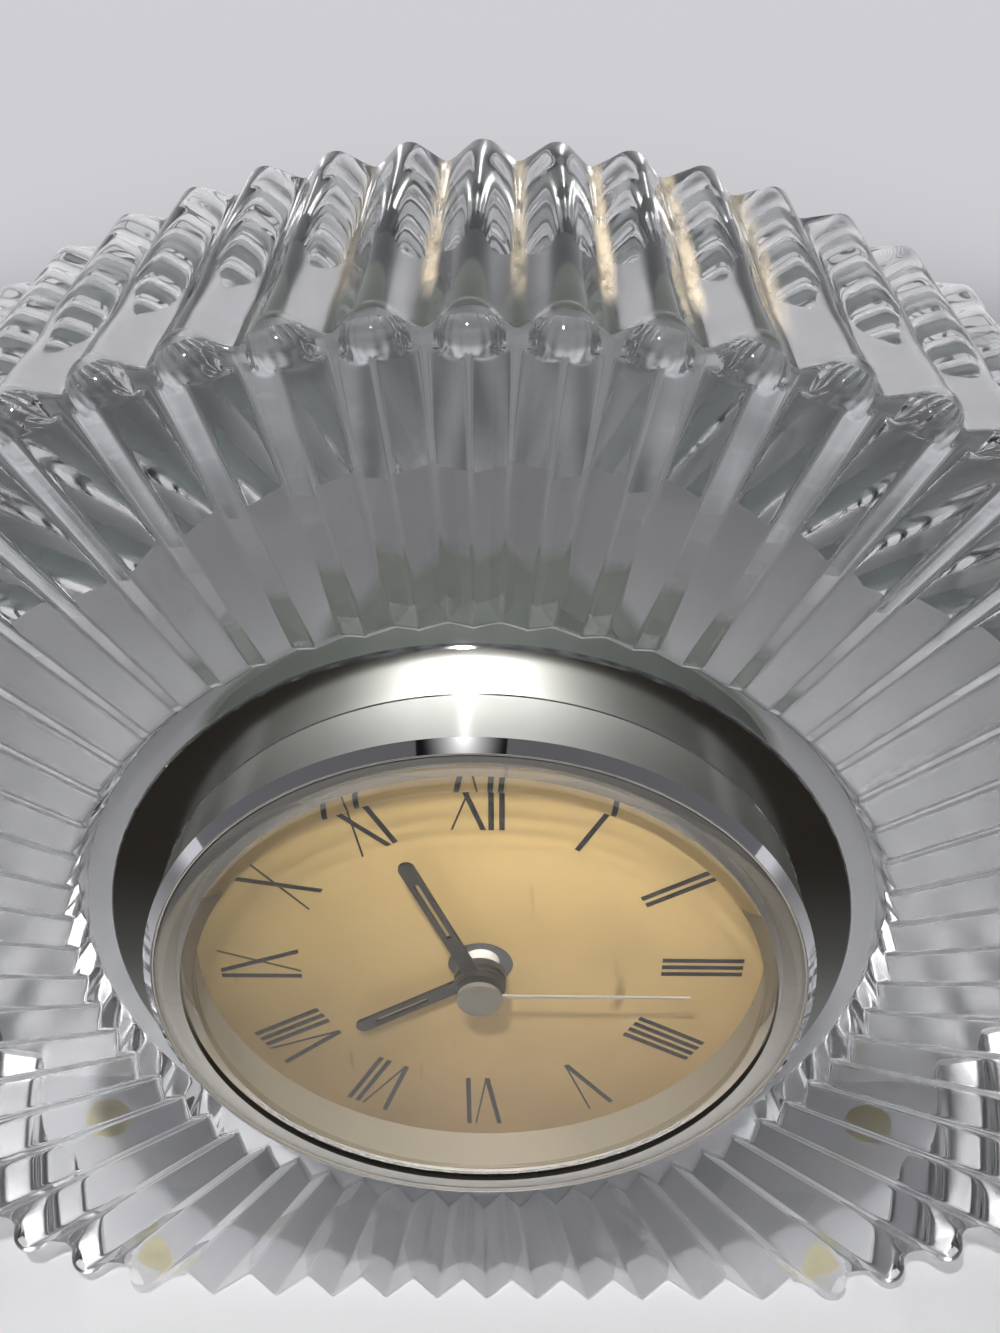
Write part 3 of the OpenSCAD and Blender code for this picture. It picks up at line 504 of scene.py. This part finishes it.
def wavy_material():
    """The outer part of the back, which the mould left in soft radial waves, with painted shadow in dark fingers
    at its sides.
    """
    mat, tree, shader = clear_material("wavy back", (0.95, 1.0, 0.98), GLASS_IOR, rough=0.05, shadow=0.6)
    angle = clock_angle(tree)
    waves = math_node(tree, "COSINE", math_node(tree, "MULTIPLY", angle, 2 * math.pi))
    lumps = noise(tree, object_coords(tree), 95.0, 0.0)
    height = math_node(tree, "ADD", math_node(tree, "MULTIPLY", waves, 0.2),
                       math_node(tree, "MULTIPLY", lumps, 1.3))
    bump(tree, height, 0.001, shader.inputs["Normal"])
    # Painted shadow: dark fingers down the sides of the wavy zone, fading toward the outline.
    finger = map_range(tree, waves, -0.2, 0.3)
    aside = map_range(tree, math_node(tree, "ABSOLUTE", angle), 3.0, 6.0)
    wide, high = 1000 / (OVAL_WIDE + DRAFT), 1000 / (OVAL_HIGH + DRAFT)
    oval = length(tree, object_coords(tree, (wide, 0, high), (0, 0, -(DIAL_Z - OVAL_DROP) * MM * high)))
    inner = map_range(tree, oval, 0.74, 0.86, 0.8, 0.0)
    painted_shadow_part = math_node(tree, "MULTIPLY", math_node(tree, "MULTIPLY", finger, aside), inner)
    cover(mat, painted_shadow_part, (0.10, 0.115, 0.115))
    return mat


def smoothed_material():
    """The even middle of the back, with painted shade: a dark disc painted in its middle, behind the recess."""
    mat, tree, _ = clear_material("smoothed back", (0.83, 0.835, 0.85), GLASS_IOR, rough=0.3, shadow=0.65)
    # Painted shade: a dark disc within about 34 mm of the axis.
    middle = map_range(tree, axis_radius(tree), 32.5 / RADIUS_UNIT, 34.5 / RADIUS_UNIT, 0.85, 0.0)
    cover(mat, middle, (0.12, 0.13, 0.11))
    return mat


def border_material():
    """Outer slope of the lens, with a pale dull coat that grows over its lower half."""
    mat, tree, _ = clear_material("pale low border", (0.97, 0.965, 0.95), ACRYLIC_IOR)
    low = map_range(tree, math_node(tree, "ABSOLUTE", clock_angle(tree)), 10.0, 20.0, 0.08, 0.62)
    cover(mat, low, (0.72, 0.69, 0.64))
    return mat


def turned_metal(name, color, rough):
    """Metal turned on a lathe: its sheen is drawn out across the fine rings."""
    mat, tree, shader = principled(name, color, rough, 1.0)
    shader.inputs["Anisotropic"].default_value = 0.97
    shader.inputs["Anisotropic Rotation"].default_value = 0.25
    tangent = add(tree, "ShaderNodeTangent")
    tangent.direction_type = "RADIAL"
    tangent.axis = "Y"
    tree.links.new(tangent.outputs[0], shader.inputs["Tangent"])
    return mat, tree


def tube_material():
    """Fine turned rings over a coarser finish whose colour is painted bright at the top and dark at the sides: a
    painted sheen above and painted shade at the sides.
    """
    mat, tree = turned_metal("satin tube", (0.52, 0.52, 0.50), 0.09)
    from_top = math_node(tree, "DIVIDE", math_node(tree, "ABSOLUTE", clock_angle(tree)), FLUTES / 2)
    # Painted sheen and shade: the coarse finish's colour is bright at the top and dark at the sides.
    shade = ramp(tree, from_top, [
        (0.05, (0.90, 0.90, 0.87)), (0.13, (0.50, 0.50, 0.48)), (0.25, (0.20, 0.20, 0.18)),
        (1.0, (0.22, 0.21, 0.19))])
    blend_surface(mat, 0.62, add(tree, "ShaderNodeBsdfPrincipled", Base_Color=shade, Roughness=0.55, Metallic=1.0))
    return mat


def dial_material():
    """Satin gold foil with small scratches and stains, with painted shade that darkens it towards the foot and at
    the left.
    """
    mat, tree, shader = principled("gold dial", (0.52, 0.37, 0.155), 0.5, 0.3)
    stains = noise(tree, object_coords(tree), 90.0, 4.0)
    tone = ramp(tree, stains, [(0.3, (0.50, 0.352, 0.145)), (0.6, (0.58, 0.41, 0.175))])
    marks = noise(tree, object_coords(tree, (420, 420, 60), turn=(0, 0.3, 0)), 1.0)
    lines = ramp(tree, marks, [(0.66, grey(0)), (0.74, grey(1))])
    scratched = mix_colors(tree, lines, tone, (0.30, 0.20, 0.08, 1))
    place = split(tree, object_coords(tree))
    # Painted shade: the colour darkens towards the foot of the dial.
    height = map_range(tree, place["Z"], (DIAL_Z - 28) * MM, (DIAL_Z + 28) * MM, smooth=False)
    painted_shade_low = ramp(tree, height, [
        (0.0, (0.46, 0.42, 0.40)), (0.5, (0.78, 0.77, 0.75)), (0.8, (1.0, 1.0, 0.97)), (1.0, grey(1.0))])
    scratched_and_shaded = mix_colors(tree, 1.0, scratched, painted_shade_low, "MULTIPLY")
    # Painted shade: the colour darkens at the left of the dial.
    left = map_range(tree, place["X"], -0.026, 0.004, 1.0, 0.0)
    shaded_at_left = mix_colors(tree, left, scratched_and_shaded, (0.62, 0.62, 0.60, 1), "MULTIPLY")
    tree.links.new(shaded_at_left, shader.inputs["Base Color"])
    return mat


def pad_material():
    """Clear soft plastic that has turned yellow."""
    mat, tree, _ = principled("yellowed pad", (0.98, 0.93, 0.66), 0.6)
    blend_surface(mat, 0.48, add(tree, "ShaderNodeBsdfTransparent", Color=(0.93, 0.91, 0.80, 1)))
    return mat


glass, _, _ = clear_material("clear crystal", (0.90, 0.905, 0.925), GLASS_IOR, rough=0.035,
                             ripple=0.00003, ripple_size=90.0, shadow=0.62)
add_dirt(glass)
ground, _, _ = clear_material("ground recess", (0.50, 0.52, 0.50), GLASS_IOR, rough=0.35, shadow=0.5)
# Painted shade in the recess: a dark dull coat over most of its ground glass.
cover(ground, 0.75, (0.085, 0.095, 0.08))
foot, _, _ = clear_material("ground foot", (0.97, 0.97, 0.99), GLASS_IOR, rough=0.4)
cover(foot, 0.4, (0.92, 0.92, 0.95))
smoothed = smoothed_material()
wavy = wavy_material()

# The lens's rings of weaker light on the dial, by radius in mm
LENS_RINGS = [(24.7, 0.93), (24.9, 0.72), (25.5, 0.72), (25.7, 1.0),
              (26.6, 1.0), (26.8, 0.5), (28.2, 0.5), (28.4, 1.0)]
lens_mat, _, _ = clear_material("clear acrylic", (0.985, 0.98, 0.965), ACRYLIC_IOR,
                                rings=[(r / RADIUS_UNIT, grey(light)) for r, light in LENS_RINGS])
border_mat = border_material()
bezel_mat, _ = turned_metal("brushed bezel", (0.60, 0.60, 0.58), 0.10)
tube_mat = tube_material()
edge_mat, _, _ = principled("polished edge", (0.86, 0.86, 0.88), 0.04, 1.0)
bore_mat, _, _ = principled("satin bore", (0.70, 0.69, 0.67), 0.45, 0.8)
glue_mat, _, _ = principled("old glue", (0.30, 0.23, 0.11), 0.8)

# Materials of one colour: colour, roughness, metallic, nodes
PLAIN = {
    "grey seal": ((0.30, 0.28, 0.25), 0.5, 0.0, ["lens_gasket"]),
    "spacer ring": ((0.20, 0.17, 0.12), 0.5, 0.3, ["spacer_ring"]),
    "black print": ((0.006, 0.005, 0.004), 0.6, 0.0, ["dial_numerals"]),
    "black hands": ((0.010, 0.007, 0.004), 0.45, 0.0, ["hour_hand", "minute_hand"]),
    "pale needle": ((0.22, 0.20, 0.16), 0.4, 0.0, ["second_hand"]),
    "grey cap": ((0.10, 0.09, 0.07), 0.5, 0.0, ["second_cap"]),
    "grey case": ((0.20, 0.20, 0.21), 0.4, 0.0, ["insert_case"]),
    "grip band": (grey(0.10), 0.6, 0.0, ["grip_band"]),
    "white moulding": ((0.75, 0.74, 0.70), 0.4, 0.0, ["middle_plate", "rear_plate"]),
    "dark moulding": (grey(0.06), 0.5, 0.0, ["front_plate"]),
    "steel": (grey(0.55), 0.3, 1.0, ["plate_screws", "stator", "coil_core", "quartz_can"]),
    "brass": ((0.70, 0.52, 0.20), 0.3, 1.0, ["minute_wheel", "third_wheel", "second_wheel"]),
    "pale plastic wheel": ((0.62, 0.60, 0.55), 0.4, 0.0, [
        "hour_wheel", "motion_wheel", "fifth_wheel", "setting_arbor"]),
    "magnet": (grey(0.12), 0.45, 0.6, ["rotor"]),
    "copper wire": ((0.60, 0.22, 0.08), 0.35, 0.8, ["coil"]),
    "board": ((0.02, 0.12, 0.04), 0.35, 0.0, ["circuit_board"]),
    "resin": (grey(0.01), 0.25, 0.0, ["chip_cover"]),
    "cell": ((0.45, 0.36, 0.12), 0.35, 0.7, ["battery"]),
    "contact": ((0.72, 0.62, 0.32), 0.3, 1.0, ["plus_contact", "minus_contact"]),
    "knob": (grey(0.02), 0.45, 0.0, ["setting_knob"]),
}


def dress(names, mat):
    for name in names:
        NODES[name].data.materials.clear()
        NODES[name].data.materials.append(mat)


dress(["bezel"], bezel_mat)
dress(["lens"], lens_mat)
dress(["dial"], dial_material())
dress(["front_left_pad", "front_right_pad", "rear_left_pad", "rear_right_pad"], pad_material())
for look, (color, rough, metal, names) in PLAIN.items():
    dress(names, principled(look, color, rough, metal)[0])


# Lens, bezel and glass body

def lathe(name, outline):
    """Smooth ring or disc round the dial's axis from (radius, level) points; radius 0 makes a centre."""
    count = 288
    verts, rings, faces = [], [], []
    turns = np.arange(count) * 2 * math.pi / count
    for r, y in outline:
        if r == 0:
            rings.append([len(verts)] * count)
            verts.append((0.0, 0.0, y))
        else:
            rings.append(list(range(len(verts), len(verts) + count)))
            verts.extend(zip(r * np.sin(turns), r * np.cos(turns), np.full(count, y)))
    for one, two in zip(rings, rings[1:] + rings[:1]):
        for i in range(count):
            j = (i + 1) % count
            face = [one[i], two[i], two[j], one[j]]
            face = [v for n, v in enumerate(face) if v not in face[:n]]
            if len(face) > 2:
                faces.append(face)
    points = np.array(verts)
    obj = mesh_object(name, to_row(points[:, 0], points[:, 1], points[:, 2]), faces)
    face_outward(obj)
    return obj


def arc_down(width, height, steps):
    """Points of an arc that starts level at a crest and falls by a height over a width."""
    size = (width ** 2 + height ** 2) / (2 * height)
    sweep = math.asin(width / size)
    return [(size * math.sin(sweep * i / steps), -size * (1 - math.cos(sweep * i / steps)))
            for i in range(steps + 1)]


def from_axis(face):
    """How far a face lies from the dial's axis, in mm."""
    return math.hypot(face.center.x / MM, face.center.z / MM - DIAL_Z)


def build_lens():
    """Clear disc with a rounded border that stands proud of it."""
    crest_r = LENS_R - OUTER_SLOPE
    outline = [(0, WINDOW_BACK), (12, WINDOW_BACK), (LENS_R - LENS_FOOT - 0.5, WINDOW_BACK),
               (LENS_R - LENS_FOOT, LENS_SEAT), (LENS_R, LENS_SEAT)]
    outline += [(crest_r + x, BORDER_CREST + y)
                for x, y in reversed(arc_down(OUTER_SLOPE, BORDER_CREST - LENS_SHOULDER, 14))]
    outline += [(crest_r - x, BORDER_CREST + y)
                for x, y in arc_down(INNER_SLOPE, BORDER_CREST - WINDOW_FRONT, 10)[1:]]
    outline += [(12, WINDOW_FRONT), (0, WINDOW_FRONT)]
    lens = lathe("lens_clear", outline)
    mark_sharp(lens, 12)
    lens.data.materials.append(lens_mat)
    lens.data.materials.append(border_mat)
    for face in lens.data.polygons:
        if crest_r - 0.3 < from_axis(face) < LENS_R - 0.02 and face.center.y < (SEAT_Y - LENS_SEAT - 0.3) * MM:
            face.material_index = 1
    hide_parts("lens")
    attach(lens, "insert")


def build_bezel():
    """Turned ring with its flange and tube, and the line of old glue in the corner between them."""
    flange_edge, glue_width = 0.15, 0.09
    outline = [(TUBE_BORE, -SKIRT), (TUBE_R, -SKIRT), (TUBE_R, 0), (FLANGE_R, 0),
               (FLANGE_R, FLANGE_THICK - flange_edge), (FLANGE_R - flange_edge, FLANGE_THICK),
               (TUBE_R + 0.1, FLANGE_THICK), (TUBE_R, FLANGE_THICK + 0.1), (TUBE_R, TUBE_RISE),
               (TUBE_R - EDGE_CHAMFER, TUBE_RISE + EDGE_CHAMFER), (TUBE_BORE, TUBE_RISE + EDGE_CHAMFER)]
    bezel = lathe("bezel_turned", outline)
    mark_sharp(bezel, 30)
    for mat in (bezel_mat, edge_mat, tube_mat, bore_mat):
        bezel.data.materials.append(mat)
    on_edge, on_tube, in_bore = 1, 2, 3
    for face in bezel.data.polygons:
        away = from_axis(face)
        level = SEAT_Y - face.center.y / MM
        if abs(level - TUBE_RISE - EDGE_CHAMFER / 2) < 0.2:
            face.material_index = on_edge
        elif away > TUBE_R - 0.1 and level > 2:
            face.material_index = on_tube
        elif away < TUBE_BORE + 0.1:
            face.material_index = in_bore
    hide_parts("bezel")
    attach(bezel, "insert")
    glue = lathe("glue_line", [(TUBE_R, FLANGE_THICK), (TUBE_R + glue_width, FLANGE_THICK),
                               (TUBE_R, FLANGE_THICK + glue_width)])
    glue.data.materials.append(glue_mat)
    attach(glue, "insert")


def build_body():
    """Glass block, with a finish of its own in the recess, on the back's two zones and on the base."""
    body = body_mesh()
    for mat in (glass, ground, smoothed, wavy, foot):
        body.data.materials.append(mat)
    in_recess, on_smoothed, on_wavy, on_foot = 1, 2, 3, 4
    for face in body.data.polygons:
        away = from_axis(face)
        if away < BORE_R + 0.1 and face.center.y < (SEAT_Y + BORE_DEEP + 1) * MM:
            face.material_index = in_recess
        elif face.center.y > (SEAT_Y + BODY_BACK - 0.05) * MM:
            angle = math.atan2(face.center.x, face.center.z - DIAL_Z * MM)
            even = away < smoothed_reach(angle) or abs(angle) > WAVY_END
            face.material_index = on_smoothed if even else on_wavy
        elif face.center.z < (PAD_HIGH + 0.05) * MM:
            face.material_index = on_foot
    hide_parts("crystal_body")
    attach(body, "glass_block")


build_lens()
build_bezel()
build_body()


# Floor, backdrop and light

def seen_ray(tree):
    """1 on camera, glossy and transmission rays."""
    path = add(tree, "ShaderNodeLightPath").outputs
    total = math_node(tree, "MAXIMUM", path["Is Camera Ray"], path["Is Glossy Ray"])
    return math_node(tree, "MAXIMUM", total, path["Is Transmission Ray"])


def stage_material():
    """Pale floor near the clock; further off it turns into an even pale backdrop, darker high up.

    Seen through the glass, both carry painted shade that darkens them to the sides, and the floor a painted pool
    of light that makes it paler before the clock.
    """
    mat, tree, out = new_material("pale stage")
    coords = object_coords(tree)
    place = split(tree, coords)
    path = add(tree, "ShaderNodeLightPath").outputs
    aside = math_node(tree, "ABSOLUTE", place["X"])

    # Painted shade and light on the floor as seen through the glass: darker to the sides, paler before the clock.
    painted_side_shade = map_range(tree, aside, 0.03, 0.20, 0.88, 0.40)
    front = map_range(tree, place["Y"], -0.045, -0.015, 0.97, 0.0)
    shade = math_node(tree, "MAXIMUM", painted_side_shade, front)
    through_glass = add(tree, "ShaderNodeCombineColor", Red=shade, Green=shade, Blue=shade).outputs[0]
    floor_color = mix_colors(tree, path["Is Transmission Ray"], (0.72, 0.715, 0.725, 1), through_glass)
    floor = add(tree, "ShaderNodeBsdfDiffuse", Color=floor_color)

    height = map_range(tree, place["Z"], 0.0, 1.2, smooth=False)
    tone = ramp(tree, height, [
        (0.0, (0.62, 0.61, 0.645)), (0.12, (0.63, 0.62, 0.655)), (0.25, (0.38, 0.38, 0.41)),
        (0.5, (0.2, 0.2, 0.22)), (1.0, (0.16, 0.16, 0.18))])
    # Painted shade on the backdrop as seen through the glass: darker to the sides.
    sideways = map_range(tree, aside, 0.03, 0.4, 0.92, 0.2)
    painted_backdrop_shade = map_range(tree, path["Is Transmission Ray"], 0.0, 1.0, 1.0, sideways, smooth=False)
    backdrop = add(tree, "ShaderNodeEmission", Color=tone, Strength=painted_backdrop_shade)

    far = map_range(tree, length(tree, coords), 0.28, 0.7)
    far_seen = math_node(tree, "MULTIPLY", far, seen_ray(tree))
    mixed = mix_shaders(tree, far_seen, floor.outputs[0], backdrop.outputs[0])
    tree.links.new(mixed, out.inputs["Surface"])
    return mat


def stage_sweep():
    """Floor that curves up into a wall behind the clock."""
    turn, back_y, wall_high, half_wide, steps = 0.25, 0.75, 1.6, 2.0, 12
    outline = [(-1.2, 0.0), (0.0, 0.0), (back_y - turn, 0.0)]
    for i in range(1, steps + 1):
        a = math.radians(i * 90 / steps)
        outline.append((back_y - turn + turn * math.sin(a), turn - turn * math.cos(a)))
    outline.append((back_y, wall_high))
    verts = [(x, y, z) for y, z in outline for x in (-half_wide, half_wide)]
    faces = [(2 * i, 2 * i + 1, 2 * i + 3, 2 * i + 2) for i in range(len(outline) - 1)]
    sweep = mesh_object("stage_sweep", np.array(verts), faces)
    sweep.data.materials.append(stage_material())


def light_card(name, corners):
    """Card that neither the camera nor the lit surfaces see; gives its tree and its emission."""
    card = mesh_object(name, np.array(corners), [(0, 1, 2, 3)], smooth=False)
    mat, tree, out = new_material(name)
    glow = add(tree, "ShaderNodeEmission")
    tree.links.new(glow.outputs[0], out.inputs["Surface"])
    card.data.materials.append(mat)
    card.visible_camera = False
    card.visible_diffuse = False
    card.visible_shadow = False
    return card, tree, glow


def lamp_glow(half):
    """Pale card round the lamp, fading outward, that reflections and refractions see."""
    out = (Vector(AIM) - Vector(LAMP)).normalized()
    side = out.cross(Vector((0, 0, 1))).normalized()
    rise = side.cross(out)
    middle = Vector(LAMP) - out * 0.004
    corners = [tuple(middle + side * a * half + rise * b * half) for a, b in ((-1, -1), (1, -1), (1, 1), (-1, 1))]
    _, tree, glow = light_card("lamp_glow", corners)
    glow.inputs["Color"].default_value = (0.55, 0.54, 0.54, 1)
    away = length(tree, object_coords(tree, shift=tuple(-middle)))
    tree.links.new(map_range(tree, away, half * 0.2, half, 1.0, 0.0), glow.inputs["Strength"])


def front_card():
    """Dark card on the floor before the clock that only reflections see."""
    near_y, far_y, near_half, far_half, level = -0.045, -0.4, 0.09, 0.2, 0.001
    card, tree, glow = light_card("front_card", [
        (-near_half, near_y, level), (near_half, near_y, level),
        (far_half, far_y, level), (-far_half, far_y, level)])
    card.visible_transmission = False
    nearness = map_range(tree, split(tree, object_coords(tree))["Y"], -0.095, near_y)
    tone = ramp(tree, nearness, [(0.0, (0.03, 0.026, 0.022)), (0.5, grey(0.1)), (1.0, grey(0.3))])
    tree.links.new(tone, glow.inputs["Color"])


def studio_world():
    """Even light on the clock; the camera, metal and glass see a room that is darker in front."""
    world = bpy.data.worlds.new("studio")
    bpy.context.scene.world = world
    world.use_nodes = True
    tree = world.node_tree
    tree.nodes.clear()
    out = tree.nodes.new("ShaderNodeOutputWorld")
    even = add(tree, "ShaderNodeBackground", Color=(0.60, 0.60, 0.62, 1), Strength=0.34)
    heading = split(tree, add(tree, "ShaderNodeTexCoord").outputs["Generated"])["Y"]
    tone = ramp(tree, map_range(tree, heading, -1.0, 1.0, smooth=False), [
        (0.0, (0.10, 0.10, 0.10)), (0.35, (0.13, 0.13, 0.14)), (0.5, (0.19, 0.19, 0.20)),
        (1.0, (0.29, 0.29, 0.31))])
    room = add(tree, "ShaderNodeBackground", Color=tone, Strength=1.0)
    mixed = mix_shaders(tree, seen_ray(tree), even.outputs[0], room.outputs[0])
    tree.links.new(mixed, out.inputs["Surface"])


def key_lamp():
    data = bpy.data.lights.new("key", "AREA")
    data.shape = "DISK"
    data.size = 0.006
    data.energy = 0.365
    lamp = bpy.data.objects.new("key", data)
    lamp.location = LAMP
    lamp.rotation_euler = (Vector(AIM) - Vector(LAMP)).to_track_quat("-Z", "Y").to_euler()
    bpy.context.scene.collection.objects.link(lamp)


LAMP = (-0.011, SEAT_Y * MM - 0.073, 0.196)
AIM = (0, SEAT_Y * MM, 0.06)
stage_sweep()
lamp_glow(0.030)
front_card()
studio_world()
key_lamp()

# Camera, fitted to the photograph

YAW, PITCH, ROLL = (math.radians(v) for v in (-0.78, 33.43, 0.17))
FOCAL_PX, LONG_SIDE_PX, SENSOR = 1061.94, 1333, 36
CAMERA_AT = (2.94, SEAT_Y - 72.59, DIAL_Z + 81.65)
cy, sy = math.cos(YAW), math.sin(YAW)
cp, sp = math.cos(PITCH), math.sin(PITCH)
ahead = Vector((sy * cp, cy * cp, -sp))
level_right = Vector((cy, -sy, 0))
level_down = ahead.cross(level_right)
right = level_right * math.cos(ROLL) + level_down * math.sin(ROLL)
down = -level_right * math.sin(ROLL) + level_down * math.cos(ROLL)
camera_data = bpy.data.cameras.new("camera")
camera_data.sensor_width = SENSOR
camera_data.lens = FOCAL_PX / LONG_SIDE_PX * SENSOR
camera_data.clip_start = 0.005
camera_data.clip_end = 20
camera = bpy.data.objects.new("camera", camera_data)
bpy.context.scene.collection.objects.link(camera)
turn = Matrix((right, -down, -ahead)).transposed().to_4x4()
camera.matrix_world = Matrix.Translation(Vector(CAMERA_AT) * MM) @ turn
bpy.context.scene.camera = camera
bpy.context.scene.view_settings.view_transform = "Standard"
